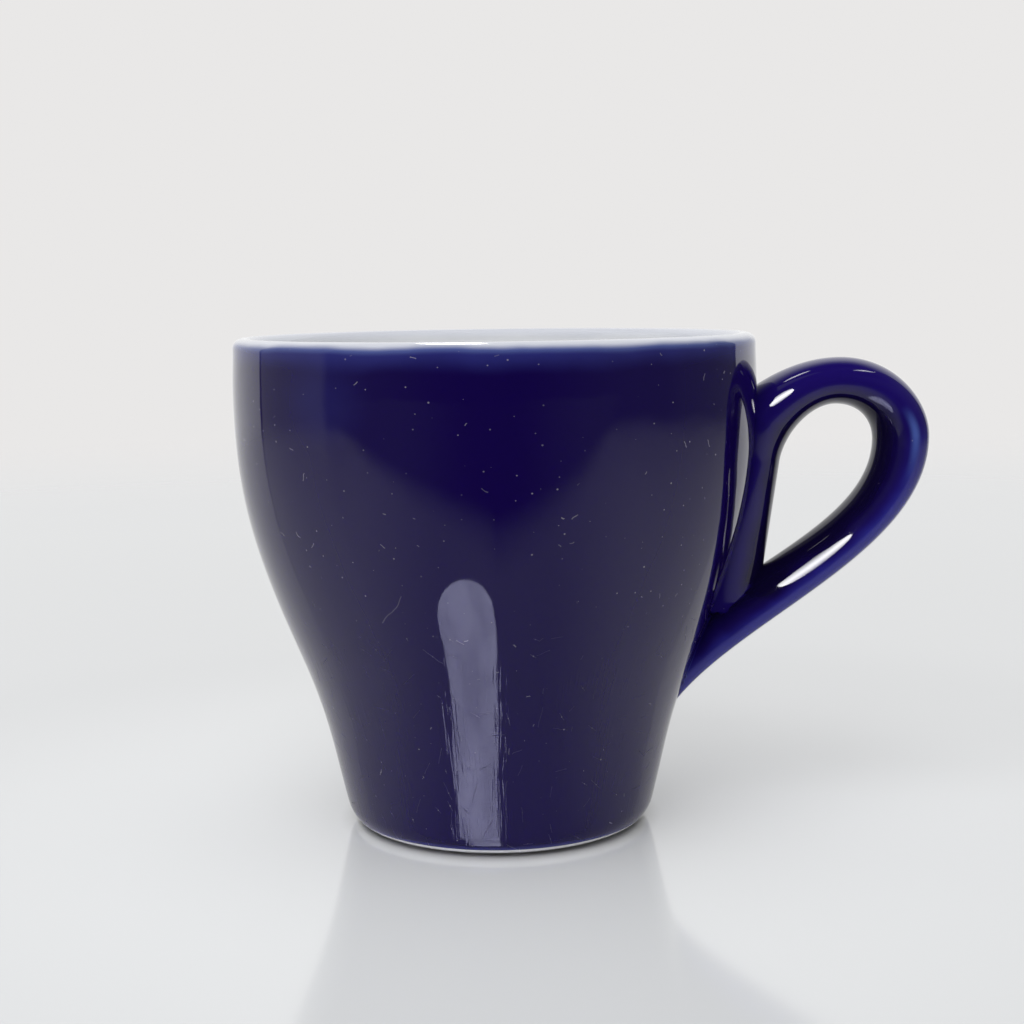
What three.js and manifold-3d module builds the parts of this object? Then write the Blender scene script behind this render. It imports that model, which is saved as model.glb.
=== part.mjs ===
// Espresso cup: a heavy porcelain tulip cup with a looped ear handle, cobalt glaze outside and white glaze inside.
// Millimetres, +Z up. It stands on z = 0, and the origin is under the middle of the whole cup, handle included.
import * as THREE from 'three';
import { mergeVertices } from 'three/addons/utils/BufferGeometryUtils.js';
import Module from 'manifold-3d';

// Cup: sizes over the glaze, slopes as run outwards for each millimetre of rise
const cupHeight = 61.5;
const rimDiameter = 65; // widest, just under the lip
const bellyDrop = 6.5; // lip crest down to the widest level
const lipThickness = 2.6;
const lipTurnIn = 0.15; // how far the lip leans in from the widest level
const flareDiameter = 50.9; // where the wall turns from hollow to full
const flareHeight = 23;
const flareSlope = 0.415;
const heelDiameter = 39.2;
const heelHeight = 3;
const heelSlope = 0.243;

// Cup: inside and underside
const wallThickness = 5.8; // level with the flare
const innerFlareSlope = 0.55;
const floorThickness = 7.5; // recess roof to the lowest point of the bowl
const footDiameter = 33.8; // outer edge of the flat that stands on the table
const footRingWidth = 3;
const recessDepth = 1.8;
const recessFillet = 1.2;
const bareFootHeight = 0.6; // wiped free of glaze before firing
const bareFootBevel = 0.15; // how far the bare edge runs outwards as it rises
const bareRecessBevel = 0.8; // the same on the inner edge

// Glaze and luting slip
const glazeThickness = 0.35;
const whiteLipDrop = 0.65; // lip crest down to where the white lining ends on the outside
const slipThickness = 0.5;
const seamGap = 0.3; // between the cup's coat and the handle's coat

// Handle: sizes over the glaze, heights as drops from the lip crest, headings in degrees from straight outwards
const handleReach = 21.95; // wall to the outermost point of the bow
const crownReach = 10.9; // wall to the top of the loop
const crownDrop = 3.35;
const crownThickness = 5.85;
const eyeCrownShift = 0.6; // the finger hole's top lies nearer the wall than the loop's top
const bowDrop = 13.2;
const bowThickness = 6.8;
const eyeBowShift = 0.5; // the finger hole's widest level lies under the bow's
const rootDrop = 9.2; // where the upper edge meets the buried side of the stem
const rootHeading = 41;
const stemDrop = 16.2; // upper end of the stem's straight side
const stemHeading = 80;
const stemProud = 3.65; // how far the stem stands above the wall
const eyeTipDrop = 28.6; // lower corner of the finger hole, where the stem meets the arm
const eyeTipProud = 4.65;
const stemSunk = 6.5; // the least length by which the stem runs on into the arm
const tailDrop = 45.7; // where the lower arm runs out on the wall
const tailHeading = 238;
const tailThickness = 6.2;
const handleWidth = 9.8;
const rootWidth = 10.8;
const stemWidth = 9;
const stemFootWidth = 6;
const tailWidth = 8;
const bowRidgeShift = 0.9; // how far the widest line lies outside the middle of the bar
const armRidgeShift = 1.5;
const buriedDepth = 3; // how deep the uncut handle reaches into the wall

// Fullness of each curved stroke: the pull of its two ends, as shares of the straight way between them
const heelPulls = [0.37, 0.41];
const lowerWallPulls = [0.37, 0.47];
const upperWallPulls = [0.45, 0.35];
const collarPulls = [0.37, 0.25];
const innerWallPulls = [0.35, 0.38];
const bowlPulls = [0.36, 0.49];
const eyeShoulderPulls = [0.35, 0.32];
const eyeCrownPulls = [0.45, 0.38];
const eyeArmPulls = [0.278, 0.379];
const rootPulls = [0.3, 0.37];
const crownPulls = [0.45, 0.315];
const armPulls = [0.32, 0.286];

// Facets
const turnSteps = 40;
const ovalSteps = 14;

const wasm = await Module();
wasm.setup();

// Closed geometry to solid and back

function weld(geometry) {
  geometry.deleteAttribute('normal');
  geometry.deleteAttribute('uv');
  const welded = mergeVertices(geometry);
  const corners = welded.index.array;
  const kept = [];
  for (let i = 0; i < corners.length; i += 3) {
    const [a, b, c] = corners.subarray(i, i + 3);
    if (a !== b && b !== c && c !== a) kept.push(a, b, c);
  }
  welded.setIndex(kept);
  return welded;
}

function toSolid(geometry) {
  return new wasm.Manifold(new wasm.Mesh({
    numProp: 3,
    vertProperties: geometry.attributes.position.array,
    triVerts: new Uint32Array(geometry.index.array),
  }));
}

function toGeometry(solid) {
  const mesh = solid.getMesh();
  const geometry = new THREE.BufferGeometry();
  geometry.setAttribute('position', new THREE.BufferAttribute(mesh.vertProperties, 3));
  geometry.setIndex(new THREE.BufferAttribute(mesh.triVerts, 1));
  return geometry;
}

// A section drawn in the plane of radius and height, turned about the cup's axis
function turn(section) {
  const geometry = new THREE.LatheGeometry(section, turnSteps);
  geometry.rotateX(Math.PI / 2);
  return weld(geometry);
}

// Drawing helpers: directions, and strokes joined end to end

const at = (x, y) => new THREE.Vector2(x, y);
const along = (x, y) => at(x, y).normalize();
const up = at(0, 1);
const down = at(0, -1);
const outwards = at(1, 0);
const inwards = at(-1, 0);

function heading(degrees) {
  const angle = THREE.MathUtils.degToRad(degrees);
  return at(Math.cos(angle), Math.sin(angle));
}

function line(from, to) {
  return new THREE.LineCurve(from, to);
}

// A curved stroke that leaves one point along a direction and arrives at the next along another
function sweep(from, leaving, to, arriving, [leavePull, arrivePull]) {
  const way = from.distanceTo(to);
  const first = from.clone().addScaledVector(leaving, way * leavePull);
  const second = to.clone().addScaledVector(arriving, -way * arrivePull);
  return new THREE.CubicBezierCurve(from, first, second, to);
}

function joinStrokes(strokes) {
  const points = [];
  const ends = [];
  for (const [stroke, steps] of strokes) {
    const run = stroke.getPoints(steps);
    points.push(...(points.length ? run.slice(1) : run));
    ends.push(points.length - 1);
  }
  return { points, ends };
}

// Bare porcelain section: out along the underside, up the outside, over the lip and down the inside to the axis

const footRadius = footDiameter / 2;
const footInnerRadius = footRadius - footRingWidth;
const recessRadius = footInnerRadius - bareRecessBevel;
const recessCorner = at(recessRadius, recessDepth);
const recessRoofEnd = at(recessRadius - recessFillet, recessDepth);
const recessGlazeEnd = at(recessRadius, bareFootHeight);
const footInner = at(footInnerRadius, 0);
const footOuter = at(footRadius, 0);
const footGlazeEnd = at(footRadius + bareFootBevel, bareFootHeight);

const heel = at(heelDiameter / 2 - glazeThickness, heelHeight);
const flare = at(flareDiameter / 2 - glazeThickness, flareHeight);
const belly = at(rimDiameter / 2 - glazeThickness, cupHeight - bellyDrop);
const innerFlare = at(flareDiameter / 2 - wallThickness + glazeThickness, flareHeight);
const bowlBottom = at(0, recessDepth + floorThickness);

const lipRadius = lipThickness / 2;
const lipCentre = at(rimDiameter / 2 - lipTurnIn - lipRadius, cupHeight - lipRadius);
const bareLipRadius = lipRadius - glazeThickness;
const lipOuter = at(lipCentre.x + bareLipRadius, lipCentre.y);
const lipInner = at(lipCentre.x - bareLipRadius, lipCentre.y);
const whiteAngle = Math.asin(1 - whiteLipDrop / lipRadius);

const heelWay = along(heelSlope, 1);
const flareWay = along(flareSlope, 1);
const innerWay = along(-innerFlareSlope, -1);

function lipArc(fromAngle, toAngle) {
  return new THREE.EllipseCurve(lipCentre.x, lipCentre.y, bareLipRadius, bareLipRadius, fromAngle, toAngle);
}

const body = joinStrokes([
  [line(at(0, recessDepth), recessRoofEnd), 1],
  [new THREE.QuadraticBezierCurve(recessRoofEnd, recessCorner, recessGlazeEnd), 3],
  [line(recessGlazeEnd, footInner), 1],
  [line(footInner, footOuter), 1],
  [line(footOuter, footGlazeEnd), 1],
  [sweep(footGlazeEnd, outwards, heel, heelWay, heelPulls), 3],
  [sweep(heel, heelWay, flare, flareWay, lowerWallPulls), 5],
  [sweep(flare, flareWay, belly, up, upperWallPulls), 6],
  [sweep(belly, up, lipOuter, up, collarPulls), 2],
  [lipArc(0, whiteAngle), 1],
  [lipArc(whiteAngle, Math.PI), 5],
  [sweep(lipInner, down, innerFlare, innerWay, innerWallPulls), 6],
  [sweep(innerFlare, innerWay, bowlBottom, inwards, bowlPulls), 5],
]);
const [, recessEnd, , , footEnd, heelEnd, , , , blueEnd, , , bowlEnd] = body.ends;

// The way out of the porcelain at each point of the section
const outward = body.points.map((point, i) => {
  if (i === 0) return down;
  if (i === bowlEnd) return up;
  const run = body.points[i + 1].clone().sub(body.points[i - 1]);
  return along(run.y, -run.x);
});

// One stretch of the section, standing proud of the porcelain by a given height
function raised(from, to, height) {
  const stretch = body.points.slice(from, to + 1);
  return stretch.map((point, i) => point.clone().addScaledVector(outward[from + i], height));
}

// A coat of glaze over one stretch of the section
function coat(from, to) {
  const face = raised(from, to, 0).reverse();
  const skin = raised(from, to, glazeThickness);
  if (from === 0) return turn([...skin, ...face]);
  if (to === bowlEnd) return turn([...face, ...skin]);
  return turn([...face, ...skin, face[0]]);
}

// The cup's outside filled to its axis, standing proud of the porcelain by a given height
function filledOutside(height) {
  const skin = raised(heelEnd, blueEnd, height);
  const bottom = at(0, skin[0].y);
  const top = at(0, skin[skin.length - 1].y);
  return toSolid(turn([bottom, ...skin, top]));
}

// A point in the handle's plane at a drop from the lip crest, standing proud of the glazed wall
function wallPoint(drop, proud) {
  const height = cupHeight - drop;
  const skin = raised(heelEnd, blueEnd, glazeThickness);
  const above = skin.findIndex((point) => point.y >= height);
  const [low, high] = [skin[above - 1], skin[above]];
  const radius = THREE.MathUtils.mapLinear(height, low.y, high.y, low.x, high.x);
  return at(radius + proud, height);
}

// Handle in the plane through the cup's axis: a stem on the wall and a looped arm, each between two edges.
// The stem runs up from inside the arm, along the wall and over the root to the crown.
// The arm runs from the crown round the bow and down into the wall, so the two meet in a crease under the hole.

const rootWay = heading(rootHeading);
const stemWay = heading(stemHeading);
const tailWay = heading(tailHeading);

const bow = wallPoint(bowDrop, handleReach);
const crown = at(bow.x - handleReach + crownReach, cupHeight - crownDrop);
const eyeCrown = at(crown.x - eyeCrownShift, crown.y - crownThickness);
const eyeBow = at(bow.x - bowThickness, bow.y - eyeBowShift);
const eyeTip = wallPoint(eyeTipDrop, eyeTipProud);

const tailBuried = wallPoint(tailDrop, 0).addScaledVector(tailWay, buriedDepth);
const eyeTail = tailBuried.clone().addScaledVector(at(tailWay.y, -tailWay.x), tailThickness);
const eyeArm = sweep(eyeBow, down, eyeTail, tailWay, eyeArmPulls);

// Whether a point of the handle's plane lies under the glazed wall
function isBuried(point) {
  return point.x < wallPoint(cupHeight - point.y, 0).x;
}

// The stem runs on at least to where the arm enters the wall, so that both share one joint
const entrySteps = 200;
const armEntry = eyeArm.getPoints(entrySteps).find(isBuried);
const stemSide = wallPoint(stemDrop, stemProud);
const stemRun = eyeTip.clone().sub(stemSide).normalize();
const stemRunLength = Math.max(stemSunk, armEntry.clone().sub(eyeTip).dot(stemRun));
const stemFoot = eyeTip.clone().addScaledVector(stemRun, stemRunLength);
const stemFootBuried = wallPoint(cupHeight - stemFoot.y, -buriedDepth);
const stemBuried = wallPoint(stemDrop, -buriedDepth);
const rootBuried = wallPoint(rootDrop, -buriedDepth);

// Stations along a bar: both edges take the same number of steps between the same marks
const footSteps = 3;
const stemSteps = 3;
const rootSteps = 6;
const crownSteps = 8;
const armSteps = 12;

// A size that eases from mark to mark along a bar
function easedSizes(first, marks) {
  const sizes = [first];
  let start = first;
  for (const [steps, end] of marks) {
    for (let step = 1; step <= steps; step += 1) {
      const share = THREE.MathUtils.smoothstep(step / steps, 0, 1);
      sizes.push(THREE.MathUtils.lerp(start, end, share));
    }
    start = end;
  }
  return sizes;
}

const stem = {
  inner: joinStrokes([
    [line(stemFoot, stemSide), footSteps],
    [sweep(stemSide, stemWay, eyeCrown, outwards, eyeShoulderPulls), stemSteps + rootSteps],
  ]).points,
  outer: joinStrokes([
    [line(stemFootBuried, stemBuried), footSteps],
    [line(stemBuried, rootBuried), stemSteps],
    [sweep(rootBuried, rootWay, crown, outwards, rootPulls), rootSteps],
  ]).points,
  widths: easedSizes(stemFootWidth, [[footSteps, stemWidth], [stemSteps, rootWidth], [rootSteps, handleWidth]]),
  ridgeShifts: easedSizes(0, [[footSteps + stemSteps + rootSteps, 0]]),
};
const arm = {
  inner: joinStrokes([
    [sweep(eyeCrown, outwards, eyeBow, down, eyeCrownPulls), crownSteps],
    [eyeArm, armSteps],
  ]).points,
  outer: joinStrokes([
    [sweep(crown, outwards, bow, down, crownPulls), crownSteps],
    [sweep(bow, down, tailBuried, tailWay, armPulls), armSteps],
  ]).points,
  widths: easedSizes(handleWidth, [[crownSteps, handleWidth], [armSteps, tailWidth]]),
  ridgeShifts: easedSizes(0, [[crownSteps, bowRidgeShift], [armSteps, armRidgeShift]]),
};

// A bar grown all round by a margin: an oval at each station, skinned to the next one and closed at both ends.
// The ridge shift moves the oval's widest line outwards, which makes it egg-shaped.
function bar({ inner, outer, widths, ridgeShifts }, margin) {
  const positions = [];
  const faces = [];
  const last = inner.length - 1;
  for (let station = 0; station <= last; station += 1) {
    const middle = inner[station].clone().lerp(outer[station], 0.5);
    const across = outer[station].clone().sub(inner[station]).normalize();
    const halfDepth = inner[station].distanceTo(outer[station]) / 2 + margin;
    const halfWidth = widths[station] / 2 + margin;
    const here = station * ovalSteps;
    const next = here + ovalSteps;
    for (let step = 0; step < ovalSteps; step += 1) {
      const angle = (2 * Math.PI * step) / ovalSteps;
      const outwardShift = ridgeShifts[station] * Math.sin(angle) ** 2;
      const point = middle.clone().addScaledVector(across, halfDepth * Math.cos(angle) + outwardShift);
      positions.push(point.x, halfWidth * Math.sin(angle), point.y);
      if (station === last) continue;
      const turned = (step + 1) % ovalSteps;
      faces.push(here + step, next + turned, here + turned);
      faces.push(here + step, next + step, next + turned);
    }
  }
  const end = last * ovalSteps;
  for (let step = 1; step < ovalSteps - 1; step += 1) {
    faces.push(0, step, step + 1);
    faces.push(end, end + step + 1, end + step);
  }
  const geometry = new THREE.BufferGeometry();
  geometry.setAttribute('position', new THREE.Float32BufferAttribute(positions, 3));
  geometry.setIndex(faces);
  return toSolid(geometry);
}

// The whole handle, before the wall cuts it
function loop(margin) {
  return bar(stem, margin).add(bar(arm, margin));
}

// The handle and its slip stop at the cup's wall, and the coats stop where they meet
const loopCore = loop(-glazeThickness);
const porcelainSide = filledOutside(0);
const slipSide = filledOutside(slipThickness);

const handleCore = loopCore.subtract(slipSide);
const slipFilm = loopCore.intersect(slipSide).subtract(porcelainSide);
const handleCoat = loop(0).subtract(loopCore).subtract(porcelainSide);
const outerCoat = toSolid(coat(footEnd, blueEnd)).subtract(loop(seamGap));

// Materials

function finish(color, roughness) {
  return new THREE.MeshStandardMaterial({ color, roughness, metalness: 0 });
}

const porcelain = finish(0xe9e5dc, 0.55);
const slip = finish(0xded8cc, 0.7);
const cobaltGlaze = finish(0x1b1657, 0.06);
const whiteGlaze = finish(0xf2f1ec, 0.08);

// Assembly

const cup = new THREE.Group();
cup.position.x = (rimDiameter / 2 - bow.x) / 2;

function piece(name, geometry, material) {
  const mesh = new THREE.Mesh(geometry, material);
  mesh.name = name;
  cup.add(mesh);
}

piece('cup_body', turn(body.points), porcelain);
piece('handle', toGeometry(handleCore), porcelain);
piece('handle_slip', toGeometry(slipFilm), slip);
piece('outer_glaze', toGeometry(outerCoat), cobaltGlaze);
piece('handle_glaze', toGeometry(handleCoat), cobaltGlaze);
piece('lining_glaze', coat(blueEnd, bowlEnd), whiteGlaze);
piece('base_glaze', coat(0, recessEnd), whiteGlaze);

export default cup;
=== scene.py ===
# %% [markdown]
# # A blue espresso cup
# A small, heavy porcelain cup: deep blue gloss glaze outside and on the handle, white glaze
# inside and over the lip, and a thin bare foot that stands on the table. Its solid model is loaded
# first. Everything made later is in metres in the same frame, so the solid says where each piece goes.

# %% Load the solid model
import math

import bmesh
import bpy
from mathutils import Matrix, Vector
from mathutils.geometry import interpolate_bezier


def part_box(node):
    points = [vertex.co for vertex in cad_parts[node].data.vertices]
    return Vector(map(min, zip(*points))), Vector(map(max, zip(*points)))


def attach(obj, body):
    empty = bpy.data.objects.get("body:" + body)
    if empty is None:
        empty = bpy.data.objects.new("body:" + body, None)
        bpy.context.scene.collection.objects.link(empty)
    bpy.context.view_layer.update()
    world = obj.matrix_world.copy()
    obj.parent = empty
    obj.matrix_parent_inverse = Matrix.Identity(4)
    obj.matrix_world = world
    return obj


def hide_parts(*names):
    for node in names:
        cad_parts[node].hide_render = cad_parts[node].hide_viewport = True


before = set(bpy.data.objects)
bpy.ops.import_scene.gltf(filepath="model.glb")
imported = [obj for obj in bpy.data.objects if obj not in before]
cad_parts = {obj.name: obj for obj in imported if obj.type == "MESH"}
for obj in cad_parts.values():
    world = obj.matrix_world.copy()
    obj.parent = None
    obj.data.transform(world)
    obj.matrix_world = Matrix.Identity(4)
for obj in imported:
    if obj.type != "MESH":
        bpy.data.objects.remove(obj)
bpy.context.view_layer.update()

MM = 0.001
body_low, body_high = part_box("cup_body")
axis_x = (body_low.x + body_high.x) / 2
print("solid pieces:", ", ".join(sorted(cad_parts)))
print(f"cup axis at x = {axis_x / MM:.3f} mm")

# %% [markdown]
# ## The camera
# The picture is taken from close by, a little above the rim, so the far side of the rim shows as a
# thin white band. Where the camera stood was worked out from the outlines of rim, wall and foot. It
# was held a fraction of a degree askew, and that tilt is kept, so that outlines can be compared.

# %% Place the camera
camera_right = 1.925 * MM  # of the cup's axis
camera_back = 219.54 * MM
camera_height = 67.10 * MM
camera_pitch = math.radians(90 - 7.269)
camera_roll = math.radians(-0.729)

camera_data = bpy.data.cameras.new("camera")
camera_data.sensor_width = 36
camera_data.lens = 61.52
camera_data.clip_start = 0.01
camera = bpy.data.objects.new("camera", camera_data)
camera.matrix_world = (
    Matrix.Translation((axis_x + camera_right, -camera_back, camera_height))
    @ Matrix.Rotation(camera_pitch, 4, "X")
    @ Matrix.Rotation(camera_roll, 4, "Z")
)
bpy.context.scene.collection.objects.link(camera)
bpy.context.scene.camera = camera
print(f"camera {camera_back / MM:.0f} mm from the axis, {camera_height / MM:.0f} mm up")

# %% [markdown]
# ## The cup's section
# A cup like this is shaped on a turning wheel, so one half-section says everything about it. It is
# drawn as bare porcelain, in millimetres from the cup's axis, with a few knots and curved strokes:
# along the underside, up the hollow then full wall, over the round lip and down into the bowl.

# %% Sizes of the section
cup_height = 61.5
rim_radius = 32.5
belly_drop = 6.5
lip_radius = 1.3
lip_turn_in = 0.15
flare_radius = 25.45
flare_height = 23
flare_slope = 0.415
heel_radius = 19.6
heel_height = 3
heel_slope = 0.243
wall_thickness = 5.8
inner_slope = 0.55
floor_thickness = 7.5
foot_radius = 16.9
foot_ring_width = 3
recess_depth = 1.8
recess_fillet = 1.2
bare_height = 0.6
bare_bevel = 0.15
recess_bevel = 0.8
foot_round = 0.2
recess_round = 1.0
glaze_thickness = 0.35
white_drop = 0.65
heel_pulls = (0.37, 0.41)
lower_wall_pulls = (0.37, 0.47)
upper_wall_pulls = (0.45, 0.35)
collar_pulls = (0.37, 0.25)
inner_wall_pulls = (0.35, 0.38)
bowl_pulls = (0.36, 0.49)
print(f"a cup {cup_height} mm high and {2 * rim_radius} mm wide")

# %% Strokes
OUT = Vector((1, 0, 0))
UP = Vector((0, 0, 1))
same_point = 0.001


def knot(radius, height):
    return Vector((radius, 0, height))


def slope(run):
    """The direction that goes outwards by run for each millimetre of rise."""
    return Vector((run, 0, 1)).normalized()


def stroke(start, leaving, end, arriving, pulls, steps):
    """A curve that leaves one knot along a direction and reaches the next along another. Its fullness
    is the pull of both ends, as shares of the straight way."""
    way = (end - start).length
    first = start + leaving * (way * pulls[0])
    second = end - arriving * (way * pulls[1])
    return interpolate_bezier(start, first, second, end, steps + 1)


def rounded(before, corner, after, size, steps=4):
    """A short curve in place of a sharp corner between two straight runs."""
    start = corner + (before - corner).normalized() * size
    end = corner + (after - corner).normalized() * size
    pull = 2 / 3
    return interpolate_bezier(start, start.lerp(corner, pull), end.lerp(corner, pull), end, steps + 1)


def joined(*runs):
    points = []
    for run in runs:
        if points and (points[-1] - run[0]).length < same_point:
            run = run[1:]
        points.extend(run)
    return points


lip_centre = knot(rim_radius - lip_turn_in - lip_radius, cup_height - lip_radius)
bare_lip_radius = lip_radius - glaze_thickness
white_angle = math.asin(1 - white_drop / lip_radius)


def lip_arc(start, end, steps):
    angles = [start + (end - start) * step / steps for step in range(steps + 1)]
    return [lip_centre + knot(math.cos(a), math.sin(a)) * bare_lip_radius for a in angles]


print(f"blue meets white {math.degrees(white_angle):.0f} degrees up the lip's round")

# %% Draw the section
recess_radius = foot_radius - foot_ring_width - recess_bevel
roof_middle = knot(0, recess_depth)
roof_end = knot(recess_radius - recess_fillet, recess_depth)
recess_corner = knot(recess_radius, recess_depth)
recess_edge = knot(recess_radius, bare_height)
foot_inner = knot(foot_radius - foot_ring_width, 0)
foot_outer = knot(foot_radius, 0)
foot_edge = knot(foot_radius + bare_bevel, bare_height)
heel = knot(heel_radius - glaze_thickness, heel_height)
flare = knot(flare_radius - glaze_thickness, flare_height)
belly = knot(rim_radius - glaze_thickness, cup_height - belly_drop)
inner_flare = knot(flare_radius - wall_thickness + glaze_thickness, flare_height)
bowl_bottom = knot(0, recess_depth + floor_thickness)

roof_steps = 6
roof = [roof_middle.lerp(roof_end, step / roof_steps) for step in range(roof_steps + 1)]
base_run = joined(
    roof,
    rounded(roof_end, recess_corner, recess_edge, recess_round, 6),
    [recess_edge],
)
foot_run = joined(
    [recess_edge],
    rounded(recess_edge, foot_inner, foot_outer, foot_round),
    rounded(foot_inner, foot_outer, foot_edge, foot_round),
    [foot_edge],
)
blue_run = joined(
    stroke(foot_edge, OUT, heel, slope(heel_slope), heel_pulls, 12),
    stroke(heel, slope(heel_slope), flare, slope(flare_slope), lower_wall_pulls, 22),
    stroke(flare, slope(flare_slope), belly, UP, upper_wall_pulls, 30),
    stroke(belly, UP, lip_arc(0, 1, 1)[0], UP, collar_pulls, 6),
    lip_arc(0, white_angle, 5),
)
white_run = joined(
    lip_arc(white_angle, math.pi, 15),
    stroke(lip_arc(math.pi, 0, 1)[0], -UP, inner_flare, -slope(inner_slope), inner_wall_pulls, 30),
    stroke(inner_flare, -slope(inner_slope), bowl_bottom, -OUT, bowl_pulls, 24),
)
section = joined(base_run, foot_run, blue_run, white_run)
base_end = len(base_run) - 1
foot_end = base_end + len(foot_run) - 1
blue_end = foot_end + len(blue_run) - 1
bowl_end = len(section) - 1
print(f"section of {len(section)} points, blue glaze from {foot_end} to {blue_end}")

# %% [markdown]
# ## Turning the section
# Spin is the potter's wheel of mesh tools: it takes the drawn section once round the axis. The last
# copy is merged with the first, doubles on the axis are merged into poles, and only then are the
# normals worked out, so that every face looks outwards.

# %% Spin helper
turn_steps = 160
merge_distance = 1e-7


def finished(bm, name, crease=35):
    """Turns a bmesh into a smooth object of the scene, with edges sharper than the crease kept."""
    for face in bm.faces:
        face.smooth = True
    mesh = bpy.data.meshes.new(name)
    bm.to_mesh(mesh)
    bm.free()
    mesh.set_sharp_from_angle(angle=math.radians(crease))
    piece = bpy.data.objects.new(name, mesh)
    bpy.context.scene.collection.objects.link(piece)
    print(f"{name}: {len(mesh.polygons)} faces")
    return piece


def turned(name, outline, closed=False):
    bm = bmesh.new()
    verts = [bm.verts.new((axis_x + p.x * MM, 0, p.z * MM)) for p in outline]
    pairs = list(zip(verts, verts[1:]))
    if closed:
        pairs.append((verts[-1], verts[0]))
    edges = [bm.edges.new(pair) for pair in pairs]
    bmesh.ops.spin(
        bm, geom=verts + edges, cent=(axis_x, 0, 0), axis=UP,
        angle=math.tau, steps=turn_steps, use_merge=True,
    )
    bmesh.ops.remove_doubles(bm, verts=bm.verts[:], dist=merge_distance)
    bmesh.ops.recalc_face_normals(bm, faces=bm.faces[:])
    return finished(bm, name)


bisque_body = turned("cup_body_bisque", section)

# %% [markdown]
# ## Coats of glaze
# Glaze is a thin layer of glass melted onto the porcelain. Each coat is one stretch of the section
# and the same stretch raised by the coat's thickness, spun together into a closed shell. The blue
# coat ends a little above the table, because the foot is wiped clean or it would stick in the kiln.

# %% Make the coats of the cup
def neighbour(i):
    """A point of the section, or the mirrored one beyond the axis."""
    if 0 <= i <= bowl_end:
        return section[i]
    near = section[1] if i < 0 else section[-2]
    return Vector((-near.x, 0, near.z))


def raised(first, last, height):
    """One stretch of the section, standing proud of the porcelain."""
    stretch = []
    for i in range(first, last + 1):
        run = neighbour(i + 1) - neighbour(i - 1)
        out = Vector((run.z, 0, -run.x)).normalized()
        stretch.append(section[i] + out * height)
    return stretch


wall_skin = raised(foot_end, blue_end, glaze_thickness)
lining_skin = raised(blue_end, bowl_end, glaze_thickness)
base_skin = raised(0, base_end, glaze_thickness)
outer_coat = turned("outer_glaze_coat", wall_skin + section[blue_end:foot_end - 1:-1], closed=True)
lining_coat = turned("lining_glaze_coat", section[bowl_end:blue_end - 1:-1] + lining_skin)
base_coat = turned("base_glaze_coat", base_skin + section[base_end::-1])

# %% [markdown]
# ## The handle's edges
# The ear-shaped handle is two bars. A stem lies on the wall and runs up over the root to the crown, and
# an arm loops from the crown round the bow and back down into the wall. Each bar has an edge on the
# finger hole and an edge outside, drawn in the plane through the cup's axis in the same number of steps.

# %% Sizes of the handle
handle_reach = 21.95
crown_reach = 10.9
crown_drop = 3.35
crown_thickness = 5.85
bow_drop = 13.2
bow_thickness = 6.8
stem_drop = 16.2
stem_proud = 3.65
eye_tip_drop = 28.6
eye_tip_proud = 4.65
stem_sunk = 6.5
root_drop = 9.2
tail_drop = 45.7
tail_thickness = 6.2
handle_width = 9.8
root_width = 10.8
stem_width = 9
stem_foot_width = 6
tail_width = 8
bow_ridge = 0.9
arm_ridge = 1.5
buried_depth = 3
eye_crown_shift = 0.6
eye_bow_shift = 0.5
root_heading = 41
stem_heading = 80
tail_heading = 238
eye_shoulder_pulls = (0.35, 0.32)
eye_crown_pulls = (0.45, 0.38)
eye_arm_pulls = (0.278, 0.379)
root_pulls = (0.3, 0.37)
crown_pulls = (0.45, 0.315)
arm_pulls = (0.32, 0.286)
print(f"a handle that reaches {handle_reach} mm from the wall")


# %% Points on the wall
def heading(degrees):
    angle = math.radians(degrees)
    return Vector((math.cos(angle), 0, math.sin(angle)))


def wall_point(drop, proud):
    """A point at a drop from the lip, standing proud of the glazed wall."""
    height = cup_height - drop
    above = next(i for i, point in enumerate(wall_skin) if point.z >= height)
    low, high = wall_skin[above - 1], wall_skin[above]
    return low.lerp(high, (height - low.z) / (high.z - low.z)) + OUT * proud


# %% Knots of the handle
root_way = heading(root_heading)
stem_way = heading(stem_heading)
tail_way = heading(tail_heading)
handle_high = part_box("handle_glaze")[1]
bow = knot((handle_high.x - axis_x) / MM, cup_height - bow_drop)
crown = knot(bow.x - handle_reach + crown_reach, cup_height - crown_drop)
eye_crown = crown - knot(eye_crown_shift, crown_thickness)
eye_bow = bow - knot(bow_thickness, eye_bow_shift)
eye_tip = wall_point(eye_tip_drop, eye_tip_proud)
stem_side = wall_point(stem_drop, stem_proud)
stem_foot = eye_tip + (eye_tip - stem_side).normalized() * stem_sunk
foot_back = wall_point(cup_height - stem_foot.z, -buried_depth)
stem_back = wall_point(stem_drop, -buried_depth)
root = wall_point(root_drop, -buried_depth)
tail = wall_point(tail_drop, 0) + tail_way * buried_depth
eye_tail = tail + knot(tail_way.z, -tail_way.x) * tail_thickness
print(f"the bow stands {bow.x:.2f} mm from the axis, the hole's corner {eye_tip.x:.2f} mm")

# %% Draw the edges
foot_steps = 15
stem_steps = 15
root_steps = 30
crown_steps = 40
arm_steps = 60


def straight(start, end, steps):
    return [start.lerp(end, step / steps) for step in range(steps + 1)]


def eased_sizes(first, *runs):
    """A size that eases from mark to mark along a bar, one value for each station."""
    sizes = [first]
    for steps, end in runs:
        start = sizes[-1]
        for step in range(1, steps + 1):
            share = step / steps
            sizes.append(start + (end - start) * share * share * (3 - 2 * share))
    return sizes


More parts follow.
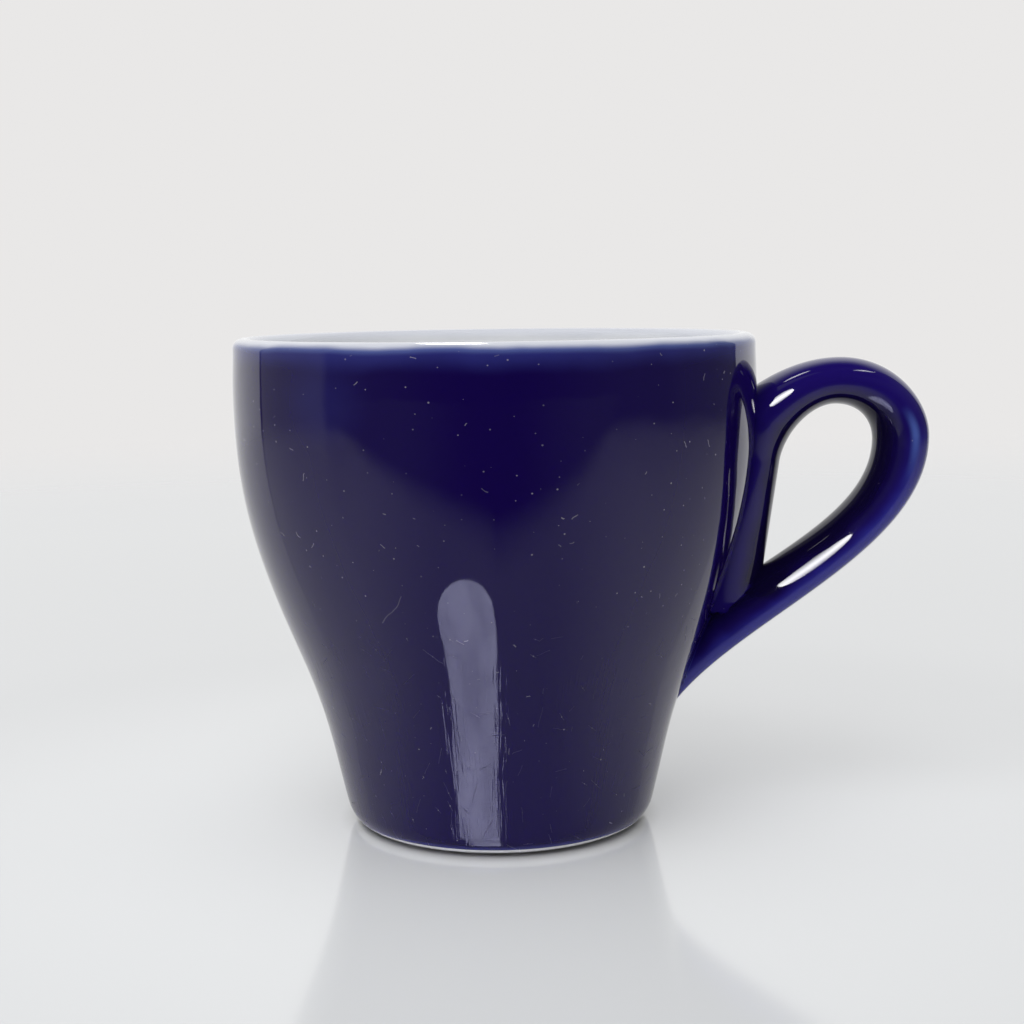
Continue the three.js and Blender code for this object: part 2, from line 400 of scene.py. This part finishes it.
stem_inner = joined(
    straight(stem_foot, stem_side, foot_steps),
    stroke(stem_side, stem_way, eye_crown, OUT, eye_shoulder_pulls, stem_steps + root_steps),
)
stem_outer = joined(
    straight(foot_back, stem_back, foot_steps),
    straight(stem_back, root, stem_steps),
    stroke(root, root_way, crown, OUT, root_pulls, root_steps),
)
stem_widths = eased_sizes(
    stem_foot_width, (foot_steps, stem_width), (stem_steps, root_width), (root_steps, handle_width)
)
arm_inner = joined(
    stroke(eye_crown, OUT, eye_bow, -UP, eye_crown_pulls, crown_steps),
    stroke(eye_bow, -UP, eye_tail, tail_way, eye_arm_pulls, arm_steps),
)
arm_outer = joined(
    stroke(crown, OUT, bow, -UP, crown_pulls, crown_steps),
    stroke(bow, -UP, tail, tail_way, arm_pulls, arm_steps),
)
arm_widths = eased_sizes(handle_width, (crown_steps, handle_width), (arm_steps, tail_width))
arm_ridges = eased_sizes(0, (crown_steps, bow_ridge), (arm_steps, arm_ridge))
print(f"{len(stem_inner)} stations on the stem and {len(arm_inner)} on the arm")

# %% [markdown]
# ## The handle's bars
# A circle is extruded from station to station. At each one its points are laid out as an oval between
# the two edges, a little egg-shaped on the arm, where the widest line lies towards the outside. Every
# point keeps three numbers: its cosine and sine round the bar, and how far along the handle it lies.

# %% Extrude a bar
ring_steps = 64
WIDE = Vector((0, 1, 0))


def bar(name, inner, outer, widths, ridges, along, margin):
    """A bar of ovals grown by a margin and closed at both ends."""
    bm = bmesh.new()
    layers = bm.verts.layers.float
    outer_side, far_side, place_along = [
        layers.new(layer) for layer in ("outer_side", "far_side", "along_handle")
    ]

    def lay_oval(verts, station):
        across = (outer[station] - inner[station]).normalized()
        middle = inner[station].lerp(outer[station], 0.5)
        half_depth = (outer[station] - inner[station]).length / 2 + margin
        half_width = widths[station] / 2 + margin
        for vert in verts:
            depth = half_depth * vert[outer_side] + ridges[station] * vert[far_side] ** 2
            spot = middle + across * depth + WIDE * (half_width * vert[far_side])
            vert.co = spot * MM + OUT * axis_x
            vert[place_along] = along[station]

    circle = bmesh.ops.create_circle(bm, cap_ends=True, segments=ring_steps, radius=1)["verts"]
    for vert in circle:
        vert[outer_side] = vert.co.x
        vert[far_side] = vert.co.y
    lay_oval(circle, 0)
    ring = bm.edges[:]
    for station in range(1, len(inner)):
        grown = bmesh.ops.extrude_edge_only(bm, edges=ring)["geom"]
        verts = [item for item in grown if isinstance(item, bmesh.types.BMVert)]
        fresh = set(verts)
        ring = [
            item for item in grown
            if isinstance(item, bmesh.types.BMEdge) and fresh.issuperset(item.verts)
        ]
        lay_oval(verts, station)
    bmesh.ops.edgeloop_fill(bm, edges=ring)
    bmesh.ops.recalc_face_normals(bm, faces=bm.faces[:])
    return finished(bm, name)


# %% [markdown]
# ## Where the handle meets the wall
# Stem and arm are joined into one loop, so they meet in a crease under the hole. The same loop without
# the glaze's thickness is taken out of it, which leaves the coat. Then the wall, spun once more as a
# plug, cuts it. So the handle's root follows the wall exactly, and where they meet is the crisp seam.

# %% Join and cut the handle
def combine(piece, tool, operation):
    """Joins or cuts one closed piece with another, and removes the tool."""
    change = piece.modifiers.new("combine", "BOOLEAN")
    change.operation = operation
    change.solver = "MANIFOLD"
    change.object = tool
    bpy.context.view_layer.update()
    shaped = piece.evaluated_get(bpy.context.evaluated_depsgraph_get())
    mesh = bpy.data.meshes.new_from_object(shaped)
    piece.modifiers.clear()
    piece.data = mesh
    bpy.data.objects.remove(tool)
    print(f"{piece.name}: {len(mesh.polygons)} faces")


def loop(name, margin):
    """The whole handle before the wall cuts it: along runs from -1 at the stem's foot over 0 at the
    crown and 1 at the bow to 2 at the arm's end."""
    last = len(stem_inner) - 1
    stem_along = [station / last - 1 for station in range(last + 1)]
    arm_along = [station / crown_steps for station in range(crown_steps)]
    arm_along += [1 + step / arm_steps for step in range(arm_steps + 1)]
    whole = bar(name, arm_inner, arm_outer, arm_widths, arm_ridges, arm_along, margin)
    no_ridges = [0] * len(stem_inner)
    stem = bar("stem", stem_inner, stem_outer, stem_widths, no_ridges, stem_along, margin)
    combine(whole, stem, "UNION")
    return whole


handle_coat = loop("handle_glaze_coat", 0)
combine(handle_coat, loop("handle_core", -glaze_thickness), "DIFFERENCE")
plug_top = knot(0, wall_skin[-1].z)
plug_bottom = knot(0, wall_skin[0].z)
combine(handle_coat, turned("wall_plug", [plug_bottom, *wall_skin, plug_top]), "DIFFERENCE")

# %% [markdown]
# ## Writing shader sums
# A finish is a network of nodes, and sums made of nodes are hard to read. This small class wraps one
# output socket, so that a sum in Python adds the nodes for it, and one method adds any other node.

# %% Socket wrapper
def feed(socket, value):
    if isinstance(value, Wire):
        socket.id_data.links.new(value.socket, socket)
    else:
        socket.default_value = value


class Wire:
    """One output socket in a node tree."""

    def __init__(self, socket):
        self.socket = socket

    def node(self, kind, settings=None, sockets=None, output=0):
        """Adds a node: its settings first, then the values or links of its sockets."""
        made = self.socket.id_data.nodes.new(kind)
        for name, value in (settings or {}).items():
            setattr(made, name, value)
        for name, value in (sockets or {}).items():
            feed(made.inputs[name], value)
        return Wire(made.outputs[output])

    def math(self, operation, first, second=0.0):
        return self.node("ShaderNodeMath", {"operation": operation}, {0: first, 1: second})

    def __add__(self, other):
        return self.math("ADD", self, other)

    def __radd__(self, other):
        return self.math("ADD", other, self)

    def __sub__(self, other):
        return self.math("SUBTRACT", self, other)

    def __rsub__(self, other):
        return self.math("SUBTRACT", other, self)

    def __mul__(self, other):
        return self.math("MULTIPLY", self, other)

    def __rmul__(self, other):
        return self.math("MULTIPLY", other, self)

    def __truediv__(self, other):
        return self.math("DIVIDE", self, other)

    def __pow__(self, other):
        return self.math("POWER", self, other)

    def __abs__(self):
        return self.math("ABSOLUTE", self)

    def eased(self, low, high):
        """0 up to low, 1 from high on, and an eased rise between them."""
        return self.node(
            "ShaderNodeMapRange", {"interpolation_type": "SMOOTHSTEP"},
            {"Value": self, "From Min": low, "From Max": high},
        )

    def vector(self, operation, *parts, output=0):
        return self.node(
            "ShaderNodeVectorMath", {"operation": operation}, dict(enumerate(parts)), output
        )

    def mixed(self, first, second):
        """The first colour where this is 0 and the second where it is 1."""
        settings = {"data_type": "RGBA"}
        return self.node("ShaderNodeMix", settings, {0: self, 6: first, 7: second}, 2)

    def noise(self, size, detail=2.0):
        """Soft noise with lumps of about that size."""
        return self.node(
            "ShaderNodeTexNoise", sockets={"Vector": self, "Scale": 1 / size, "Detail": detail}
        )


# %% [markdown]
# ## Places on the cup
# Patterns on the cup are set out in millimetres from its axis. A Mapping node moves the object's own
# coordinates there. For marks that lie along the wall, the angle round the axis is laid out flat, so
# that across is a distance round the cup and up is the height.

# %% New finish
def new_finish(name):
    """A material, its shader and the place on the cup in millimetres from the axis."""
    material = bpy.data.materials.new(name)
    material.use_nodes = True
    tree = material.node_tree
    own = Wire(tree.nodes.new("ShaderNodeTexCoord").outputs["Object"])
    place = own.node(
        "ShaderNodeMapping",
        sockets={"Vector": own, "Location": (-axis_x / MM, 0, 0), "Scale": (1 / MM,) * 3},
    )
    return material, tree.nodes["Principled BSDF"], place


def parts_of(vector):
    split = vector.node("ShaderNodeSeparateXYZ", sockets={0: vector})
    return [Wire(out) for out in split.socket.node.outputs]


def laid_flat(place, radius=28):
    """The wall unrolled: millimetres round the cup from the front, and height."""
    x, y, z = parts_of(place)
    angle = x.math("ARCTAN2", x, 0 - y)
    return place.node("ShaderNodeCombineXYZ", sockets={0: angle * radius, 1: z})


# %% [markdown]
# ## Marks of use
# Years of stacking leave pin-prick specks and fine scratches in a gloss glaze, which show pale on dark
# blue. A Voronoi pattern scatters cells over the wall. Some cells get one mark each: its middle is the
# cell's point, and the cell's random colour gives its direction, its length and whether it is there.

# %% Scattered marks
def cells_of(place, scale, dimensions):
    """The cells of a Voronoi pattern: the way to each cell's point, and the node's outputs."""
    cells = place.node(
        "ShaderNodeTexVoronoi", {"voronoi_dimensions": dimensions}, {"Vector": place, "Scale": scale}
    )
    return cells, cells.socket.node.outputs


def marks(flat, cell, length, width, share, bend):
    """Fine bent lines on a flat layout, one in some of the cells, all sizes in millimetres."""
    scaled = flat.vector("SCALE", flat)
    scaled.socket.node.inputs["Scale"].default_value = 1 / cell
    sway = scaled.node("ShaderNodeTexNoise", sockets={"Vector": scaled, "Scale": 2.5}, output=1)
    sway = sway.vector("MULTIPLY", sway.vector("SUBTRACT", sway, (0.5,) * 3), (bend,) * 3)
    scaled = scaled.vector("ADD", scaled, sway)
    _, outputs = cells_of(scaled, 1, "2D")
    turn, pick, size = parts_of(Wire(outputs["Color"]))
    away = scaled.vector("SUBTRACT", scaled, Wire(outputs["Position"]))
    x, y, _ = parts_of(away)
    cosine = turn.math("COSINE", turn * math.pi)
    sine = turn.math("SINE", turn * math.pi)
    along = abs(x * cosine + y * sine)
    across = abs(y * cosine - x * sine)
    half = size * (length / cell / 2)
    thin = 1 - across.eased(0.4 * width / cell, width / cell)
    ended = (half - along).eased(0, 0.15 * width / cell)
    return thin * ended * pick.math("GREATER_THAN", pick, 1 - share)


def specks(place, cell, size, share, dimensions="3D"):
    """Pin-pricks in some of the cells of a pattern, up to that size in millimetres."""
    away, outputs = cells_of(place, 1 / cell, dimensions)
    pick, chance, _ = parts_of(Wire(outputs["Color"]))
    reach = (chance * 0.7 + 0.3) * (size / cell)
    dot = 1 - (away / reach).eased(0.5, 1.0)
    return dot * pick.math("GREATER_THAN", pick, 1 - share)


# %% [markdown]
# ## Blue glaze on the wall
# Cobalt glaze is dark where it lies thick. Towards the lip it was dipped less deep and ran off, so it
# thins to a brighter blue and then to white, with a soft uneven edge that wanders up and down. At the
# foot it ends in a thin clear line. Pricks and nicks gather in loose patches, and wiping left hairlines
# low on the wall, which show beside a glint.

# %% Colours of the glaze and its lip
DEEP_BLUE = (0.0054, 0.0014, 0.049, 1)
THIN_BLUE = (0.022, 0.024, 0.15, 1)
PALE_BLUE = (0.075, 0.10, 0.27, 1)
LIP_WHITE = (0.60, 0.615, 0.67, 1)
BOWL_WHITE = (0.75, 0.76, 0.78, 1)
MARK_GREY = (0.42, 0.40, 0.42, 1)
CLEAR_GLAZE = (0.76, 0.75, 0.71, 1)
lip_crest_radius = lip_centre.x


def lip_fade(place):
    """How far the glaze has turned from white to blue on the outside of the lip."""
    x, y, z = parts_of(place)
    flat = laid_flat(place)
    ragged = (flat.noise(9.0) - 0.5) * 0.9
    drop = cup_height - z + ragged
    outside = ((x * x + y * y) ** 0.5).eased(lip_crest_radius, lip_crest_radius + 0.5)
    return drop, drop.eased(0.15, 0.95) * outside


def gloss(shader, place, roughness, grooves=0.0):
    """Glass-like surface with slight waves and smears, and hairlines if there are any."""
    feed(shader.inputs["Roughness"], place.noise(7.0) * 0.04 + roughness)
    waves = place.noise(9.0) + grooves
    bump = place.node("ShaderNodeBump", sockets={"Height": waves, "Strength": 0.06, "Distance": MM})
    feed(shader.inputs["Normal"], bump)


def count_nodes(material):
    print(f"{material.name}: {len(material.node_tree.nodes)} nodes")


# %% Cobalt on the wall
glaze_ior = 1.5
thin_spot = (-17.5, 55, 0)

wall_blue, shader, place = new_finish("cobalt_glaze_wall")
drop, fade = lip_fade(place)
flat = laid_flat(place)
height = parts_of(place)[2]
clouds = (flat.noise(14.0) - 0.5) * 3
thin_patch = 1 - flat.vector("DISTANCE", flat, thin_spot, output=1).eased(1, 6.5)
thick = (drop + clouds).eased(0.6, 3.6) * (1 - thin_patch * 0.25) * height.eased(1.1, 1.7)
colour = fade.mixed(LIP_WHITE, PALE_BLUE)
colour = drop.eased(0.7, 1.5).mixed(colour, THIN_BLUE)
colour = thick.mixed(colour, DEEP_BLUE)
foot_line = height.eased(0.42, 0.5) * (1 - height.eased(0.98, 1.08))
colour = foot_line.mixed(colour, CLEAR_GLAZE)

# %% Marks and hairlines on the wall
patchy = flat.noise(15.0).eased(0.42, 0.6)
pricks = specks(flat, cell=2.4, size=0.13, share=0.5, dimensions="2D") * (patchy * 0.4 + 0.1)
nicks = marks(flat, cell=3.6, length=0.9, width=0.07, share=0.4, bend=0.3) * (patchy * 0.4)
long_marks = marks(flat, cell=17.0, length=5.0, width=0.08, share=0.30, bend=0.2) * 0.12
worn = pricks.math("MAXIMUM", pricks, nicks)
worn = worn.math("MAXIMUM", worn, long_marks)
feed(shader.inputs["Base Color"], worn.mixed(colour, MARK_GREY))
scratches = marks(flat, cell=2.4, length=3.6, width=0.08, share=0.5, bend=0.1)
scratches = scratches * (1 - height.eased(26, 32))
upright = flat.vector("MULTIPLY", flat, (3, 0.15, 1)).noise(1.0).eased(0.5, 0.75)
hairlines = upright * flat.noise(5.0).eased(0.4, 0.6) * (1 - height.eased(20, 28))
gloss(shader, place, scratches * 0.35 + 0.02, hairlines * 0.35)
shader.inputs["IOR"].default_value = glaze_ior
count_nodes(wall_blue)

# %% [markdown]
# ## Blue glaze on the handle
# On the handle's tight curves the same glaze runs thinner, so the handle is a livelier blue. Painted
# shade darkens the side of the hole and the crease under it, the outer half of the arm is lighter from
# thinner glaze and painted light, and a painted highlight lies as a pale streak on the bow. The numbers
# kept on the bars' points say where.

# %% Cobalt on the handle
HANDLE_BLUE = (0.010, 0.004, 0.10, 1)
SHADE_BLUE = (0.004, 0.002, 0.022, 1)
ARM_THIN_LIT_BLUE = (0.022, 0.021, 0.20, 1)
BOW_HIGHLIGHT_BLUE = (0.06, 0.10, 0.33, 1)

handle_blue, shader, place = new_finish("cobalt_glaze_handle")
side = place.node("ShaderNodeAttribute", {"attribute_name": "outer_side"}, output=2)
along = place.node("ShaderNodeAttribute", {"attribute_name": "along_handle"}, output=2)
cloud = (place.noise(5.0) - 0.5) * 0.4
# painted shade: the side of the finger hole is darker
hole_side_shade = 1 - (side + cloud).eased(-0.8, -0.05)
# thinner glaze and painted light: the outer half of the arm is lighter
thin_and_lit_arm = (side + cloud).eased(-0.35, 0.15) * along.eased(0.8, 1.3)
# painted highlight over thinner glaze: a pale blue streak on the bow
on_bow = along.eased(0.6, 0.92) * (1 - along.eased(0.95, 1.16))
streak = side.eased(-0.22, 0.0) * (1 - side.eased(0.02, 0.26)) * on_bow * 0.85
colour = hole_side_shade.mixed(HANDLE_BLUE, SHADE_BLUE)
colour = thin_and_lit_arm.mixed(colour, ARM_THIN_LIT_BLUE)
colour = streak.mixed(colour, BOW_HIGHLIGHT_BLUE)
# painted shade: darker in the crease under the hole
crease = eye_tip - knot(0.3, 2.2)
from_crease = place.vector("DISTANCE", place.vector("MULTIPLY", place, (1, 0, 1)), crease, output=1)
colour = from_crease.eased(1.2, 3.2).mixed(SHADE_BLUE, colour)
worn = specks(place, cell=1.2, size=0.12, share=0.5) * 0.5
feed(shader.inputs["Base Color"], worn.mixed(colour, MARK_GREY))
gloss(shader, place, 0.02)
shader.inputs["IOR"].default_value = glaze_ior
count_nodes(handle_blue)

# %% [markdown]
# ## White and clear glaze, bare porcelain and slip
# The white lining starts on the lip, where it has a tinge of blue and takes up the blue edge with the
# same sums, so the two coats blend. Bare porcelain shows only at the foot: matt, very fine-grained,
# and painted grey towards the table as shade where it stands.

# %% White glaze
LINING_PIT = (0.45, 0.42, 0.38, 1)
BASE_PIT = (0.35, 0.31, 0.26, 1)
BASE_DULL = (0.74, 0.73, 0.70, 1)
BASE_CLEAN = (0.79, 0.78, 0.76, 1)

lining_white, shader, place = new_finish("white_glaze_lining")
drop, fade = lip_fade(place)
colour = drop.eased(0.4, 1.8).mixed(LIP_WHITE, BOWL_WHITE)
colour = fade.mixed(colour, PALE_BLUE)
pits = specks(place, cell=5.0, size=0.14, share=0.15) * 0.5
feed(shader.inputs["Base Color"], pits.mixed(colour, LINING_PIT))
gloss(shader, place, 0.03)
count_nodes(lining_white)

base_clear, shader, place = new_finish("clear_glaze_base")
tone = place.noise(6.0).mixed(BASE_DULL, BASE_CLEAN)
pits = specks(place, cell=3.0, size=0.14, share=0.25) * 0.6
feed(shader.inputs["Base Color"], pits.mixed(tone, BASE_PIT))
gloss(shader, place, 0.04)
count_nodes(base_clear)

# %% Bare porcelain and slip
PORCELAIN_PALE = (0.84, 0.82, 0.78, 1)
PORCELAIN_DARK = (0.76, 0.73, 0.68, 1)
SLIP_PALE = (0.74, 0.70, 0.63, 1)
SLIP_DARK = (0.68, 0.64, 0.57, 1)
FOOT_SHADE_GREY = (0.34, 0.32, 0.30, 1)
grain_depth = 0.1 * MM


def bare_clay(name, pale, dark, shade_share):
    """Unglazed clay with a fine grain and painted shade at the bottom, as strong as the last argument
    says.
    """
    material, shader, place = new_finish(name)
    height = parts_of(place)[2]
    grain = place.noise(0.35, 4.0)
    uneven = place.noise(2.5).eased(0.35, 0.7) * 0.5 + 0.5
    # painted shade: the foot turns grey towards the table
    foot_shade = (1 - height.eased(0.3, 0.7)) * uneven * shade_share
    tone = grain.eased(0.3, 0.8).mixed(pale, dark)
    feed(shader.inputs["Base Color"], foot_shade.mixed(tone, FOOT_SHADE_GREY))
    feed(shader.inputs["Roughness"], grain * 0.25 + 0.5)
    relief = {"Height": grain, "Strength": 0.25, "Distance": grain_depth}
    feed(shader.inputs["Normal"], place.node("ShaderNodeBump", sockets=relief))
    count_nodes(material)
    return material


porcelain = bare_clay("bare_porcelain", PORCELAIN_PALE, PORCELAIN_DARK, shade_share=0.7)
slip = bare_clay("luting_slip", SLIP_PALE, SLIP_DARK, shade_share=0.0)

# %% [markdown]
# ## Putting the pieces on the frame
# Each new piece stands for one solid of the frame and rides on the same body. The handle's porcelain
# and its slip keep their solids, because they lie under the glaze, and only get a better finish.

# %% Dress the frame
def dress(piece, material, node):
    piece.data.materials.clear()
    piece.data.materials.append(material)
    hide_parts(node)
    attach(piece, "root")
    print(f"{piece.name} stands for {node}")


seam_crease = math.radians(50)
handle_coat.data.set_sharp_from_angle(angle=seam_crease)
dress(bisque_body, porcelain, "cup_body")
dress(outer_coat, wall_blue, "outer_glaze")
dress(lining_coat, lining_white, "lining_glaze")
dress(base_coat, base_clear, "base_glaze")
dress(handle_coat, handle_blue, "handle_glaze")
for node, material in (("handle", porcelain), ("handle_slip", slip)):
    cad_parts[node].data.materials.clear()
    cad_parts[node].data.materials.append(material)

# %% [markdown]
# ## Table and backdrop
# The cup stands on a smooth white table in front of a white backdrop. The table is a disc that fades
# out before its edge, so the picture has a soft horizon from every side. It has painted light, a little
# darker away from the cup, a painted shadow under the heel, and is dimmer where the glaze mirrors it.

# %% Table
def stage_piece(bm, name, material):
    piece = finished(bm, name)
    piece.data.materials.append(material)
    return piece


TABLE_NEAR = (0.80, 0.815, 0.825, 1)
TABLE_FAR = (0.62, 0.63, 0.64, 1)
HEEL_SHADOW_GREY = (0.42, 0.42, 0.41, 1)
MIRRORED_FRONT = (0.37, 0.37, 0.37, 1)
MIRRORED_ASIDE = (0.66, 0.66, 0.66, 1)
table_radius = 0.8
table_drop = 0.02 * MM  # so that table and foot don't share a plane

table_white, shader, place = new_finish("table_white")
x, y, _ = parts_of(place)
mirrored = place.node("ShaderNodeLightPath", output="Is Glossy Ray")
away = (x * x + y * y) ** 0.5
# painted light: the table is lighter near the cup and darker away from it
lit = away.eased(20, 110).mixed(TABLE_NEAR, TABLE_FAR)
# painted shadow: a grey ring under the heel
lit = away.eased(16.5, 21).mixed(HEEL_SHADOW_GREY, lit)
aside = abs(x.math("ARCTAN2", x, 0 - y)).eased(0.3, 1.1)
dimmed = aside.mixed(MIRRORED_FRONT, MIRRORED_ASIDE)
feed(shader.inputs["Base Color"], mirrored.mixed(lit, dimmed))
shader.inputs["IOR"].default_value = 1.65
feed(shader.inputs["Roughness"], 0.10 - mirrored * 0.08)
feed(shader.inputs["Alpha"], 1 - away.eased(330, 620))
disc = bmesh.new()
under_cup = Matrix.Translation((axis_x, 0, -table_drop))
bmesh.ops.create_circle(disc, cap_ends=True, segments=96, radius=table_radius, matrix=under_cup)
table = stage_piece(disc, "table", table_white)

# %% [markdown]
# ## Studio light
# A gloss glaze shows its surroundings, so the light is mostly what the cup reflects: a white backdrop
# behind it, a dark room in front, and a window high on the left, which the wall mirrors by way of the
# table. A blind makes the window's light uneven. Five small lamps close to the handle and the lip give
# their bright streaks, and one soft lamp gives the faint shadow. A light that is linked to one piece
# falls on nothing else.

# %% Directions and linked lights
def direction(left, up):
    """From the cup, degrees to the left of the camera's side and above the table."""
    a, e = math.radians(left), math.radians(up)
    return Vector((-math.sin(a) * math.cos(e), -math.cos(a) * math.cos(e), math.sin(e)))


def only_reflected(piece):
    piece.visible_camera = False
    piece.visible_diffuse = False
    piece.visible_shadow = False
    piece.visible_transmission = False


def link_light(light, piece):
    """Lets a light fall on one piece only."""
    linked = bpy.data.collections.new(light.name + "_falls_on")
    linked.objects.link(piece)
    light.light_linking.receiver_collection = linked


# %% Light of the window
BLIND_DIM = (0.50, 0.507, 0.715, 1)
BLIND_BRIGHT = (0.70, 0.71, 1, 1)
blind_lumps = 0.035
window_shine = 62

window_light = bpy.data.materials.new("window_light")
window_light.use_nodes = True
tree = window_light.node_tree
tree.nodes.clear()
blind = Wire(tree.nodes.new("ShaderNodeTexCoord").outputs["Object"])
tone = blind.noise(blind_lumps).eased(0.3, 0.7).mixed(BLIND_DIM, BLIND_BRIGHT)
shine = blind.node("ShaderNodeEmission", sockets={"Color": tone, "Strength": window_shine})
clear = blind.node("ShaderNodeBsdfTransparent")
lit = blind.node("ShaderNodeAddShader", sockets={0: shine, 1: clear})
bounces = blind.node("ShaderNodeLightPath", output="Ray Depth")
by_way_of_table = bounces.math("GREATER_THAN", bounces, 1.5)
seen = blind.node("ShaderNodeMixShader", sockets={0: by_way_of_table, 1: clear, 2: lit})
feed(tree.nodes.new("ShaderNodeOutputMaterial").inputs["Surface"], seen)
count_nodes(window_light)

# %% Window
window_distance = 0.26
window_left = 17.3
window_half = 16.3
window_low = 31.2
window_high = 75
window_arch = 10
panel = bmesh.new()
bmesh.ops.create_grid(panel, x_segments=48, y_segments=12, size=1)
for vert in panel.verts:
    low = window_low + window_arch * (1 - math.sqrt(max(0, 1 - vert.co.x ** 2)))
    up = low + (window_high - low) * (vert.co.y + 1) / 2
    left = window_left + window_half * vert.co.x
    vert.co = direction(left, up) * window_distance + OUT * axis_x
window = stage_piece(panel, "window", window_light)
only_reflected(window)
link_light(window, table)

# %% Small lamps
lamp_spread = 40


def small_lamp(name, piece, stands, faces, length, width, turn, shine):
    """An oval lamp close to one piece, which mirrors it as a streak. Places and sizes are in
    millimetres, places from the axis."""
    data = bpy.data.lights.new(name, "AREA")
    data.shape = "ELLIPSE"
    data.size = length * MM
    data.size_y = width * MM
    data.spread = math.radians(lamp_spread)
    data.energy = shine * data.size * data.size_y
    light = bpy.data.objects.new(name, data)
    back = (Vector(stands) - Vector(faces)).to_track_quat("Z", "Y").to_matrix().to_4x4()
    place = Matrix.Translation(Vector(stands) * MM + OUT * axis_x)
    light.matrix_world = place @ back @ Matrix.Rotation(math.radians(turn), 4, "Z")
    bpy.context.scene.collection.objects.link(light)
    light.visible_diffuse = False
    light.visible_camera = False
    link_light(light, piece)
    print(f"{name}: {length} by {width} mm, falls on {piece.name}")


small_lamp(
    "arm_lamp", handle_coat, stands=(30, -24, 45), faces=(40, -4, 33),
    length=18.4, width=9.2, turn=-40, shine=2.8,
)
small_lamp(
    "root_lamp", handle_coat, stands=(28.7, -22, 71), faces=(35, -5, 53.5),
    length=17.6, width=8.6, turn=-55, shine=3.4,
)
small_lamp(
    "crown_lamp", handle_coat, stands=(31.8, 4.8, 79), faces=(37.2, -3.6, 56),
    length=9.4, width=2.6, turn=-23, shine=0.8,
)
small_lamp(
    "bow_lamp", handle_coat, stands=(55, -3, 79.5), faces=(45.3, -4, 56.6),
    length=10.8, width=2.4, turn=-58, shine=0.8,
)
small_lamp(
    "lip_lamp", lining_coat, stands=(-7.7, -8.6, 94), faces=(-4.5, -31.3, 61.4),
    length=13, width=24, turn=0, shine=2.6,
)

# %% Dark room in front
BLACK = (0, 0, 0, 1)
ROOM_FRONT = (0.015, 0.015, 0.02, 1)
ROOM_ASIDE = (0.12, 0.12, 0.12, 1)
room_starts = 91  # millimetres in front of the axis
left_bend = 5.3
right_lean = 0.65
edge_softness = 34
sheet_half_depth = 0.45
sheet_back = 0.52
sheet_height = 0.5 * MM

dark_room, shader, place = new_finish("dark_room")
x, y, _ = parts_of(place)
leftward = x.math("MAXIMUM", 0 - x, 0)
rightward = x.math("MAXIMUM", x, 0)
near_edge = leftward ** 0.5 * left_bend + rightward * right_lean + room_starts
shader.inputs["Base Color"].default_value = BLACK
shader.inputs["Specular IOR Level"].default_value = 0
aside = abs(x.math("ARCTAN2", x, 0 - y)).eased(0.1, 0.75)
feed(shader.inputs["Emission Color"], aside.mixed(ROOM_FRONT, ROOM_ASIDE))
shader.inputs["Emission Strength"].default_value = 1
feed(shader.inputs["Alpha"], (0 - y - near_edge).eased(-edge_softness, edge_softness))
sheet = bmesh.new()
bmesh.ops.create_grid(sheet, x_segments=1, y_segments=1, size=1)
bmesh.ops.scale(sheet, vec=(1.0, sheet_half_depth, 1), verts=sheet.verts[:])
bmesh.ops.translate(sheet, vec=(axis_x, -sheet_back, sheet_height), verts=sheet.verts[:])
dark_floor = stage_piece(sheet, "dark_floor", dark_room)
only_reflected(dark_floor)

# %% Soft lamp
lamp_distance = 0.9
lamp_data = bpy.data.lights.new("soft_lamp", "AREA")
lamp_data.shape = "SQUARE"
lamp_data.size = 0.6
lamp_data.energy = 3.3
lamp = bpy.data.objects.new("soft_lamp", lamp_data)
away = direction(left=24, up=52)
facing = away.to_track_quat("Z", "Y").to_matrix().to_4x4()
lamp.matrix_world = Matrix.Translation(away * lamp_distance) @ facing
bpy.context.scene.collection.objects.link(lamp)
lamp.visible_camera = False
lamp.visible_glossy = False
print(f"soft lamp {lamp_distance} m away, {lamp_data.energy:.1f} W")

# %% Room seen in reflections
SOFT_LOW = (0.59, 0.59, 0.59, 1)
SOFT_HIGH = (0.93, 0.93, 0.93, 1)
BACKDROP = (0.815, 0.805, 0.80, 1)

# Edges in degrees from straight behind the cup, each eased from the first to the second
backdrop_left = (59.4, 60.0)
backdrop_right = (52.0, 52.6)
left_wall_starts = (61.0, 61.5)
left_wall_ends = (101, 107)
right_wall_starts = (54.5, 55.1)
right_wall_ends = (92, 104)
front_darkens = (115, 172)

world = bpy.data.worlds.new("studio")
bpy.context.scene.world = world
world.use_nodes = True
tree = world.node_tree
view = Wire(tree.nodes.new("ShaderNodeTexCoord").outputs["Generated"])
x, y, z = parts_of(view)
off_back = x.math("ARCTAN2", x, y) * (180 / math.pi)
off_left = 0 - off_back
backdrop = (1 - off_left.eased(*backdrop_left)) * (1 - off_back.eased(*backdrop_right))
left_wall = off_left.eased(*left_wall_starts) * (1 - off_left.eased(*left_wall_ends))
right_wall = off_back.eased(*right_wall_starts) * (1 - off_back.eased(*right_wall_ends))
low = 1 - z.eased(0.55, 0.9)
front_sides = 1 - abs(off_back).eased(*front_darkens)
room = backdrop * low * 0.82 + left_wall * 0.26 + right_wall * 0.03
room = room + front_sides * 0.09 * low + 0.01
seen = view.node("ShaderNodeLightPath", output="Is Camera Ray")
mirrored = view.node("ShaderNodeLightPath", output="Is Glossy Ray")
soft = z.eased(0, 0.9).mixed(SOFT_LOW, SOFT_HIGH)
lit = mirrored.mixed(soft, room)
feed(tree.nodes["Background"].inputs["Color"], seen.mixed(lit, BACKDROP))
print(f"{world.name}: {len(tree.nodes)} nodes")

bpy.context.scene.view_settings.view_transform = "Standard"
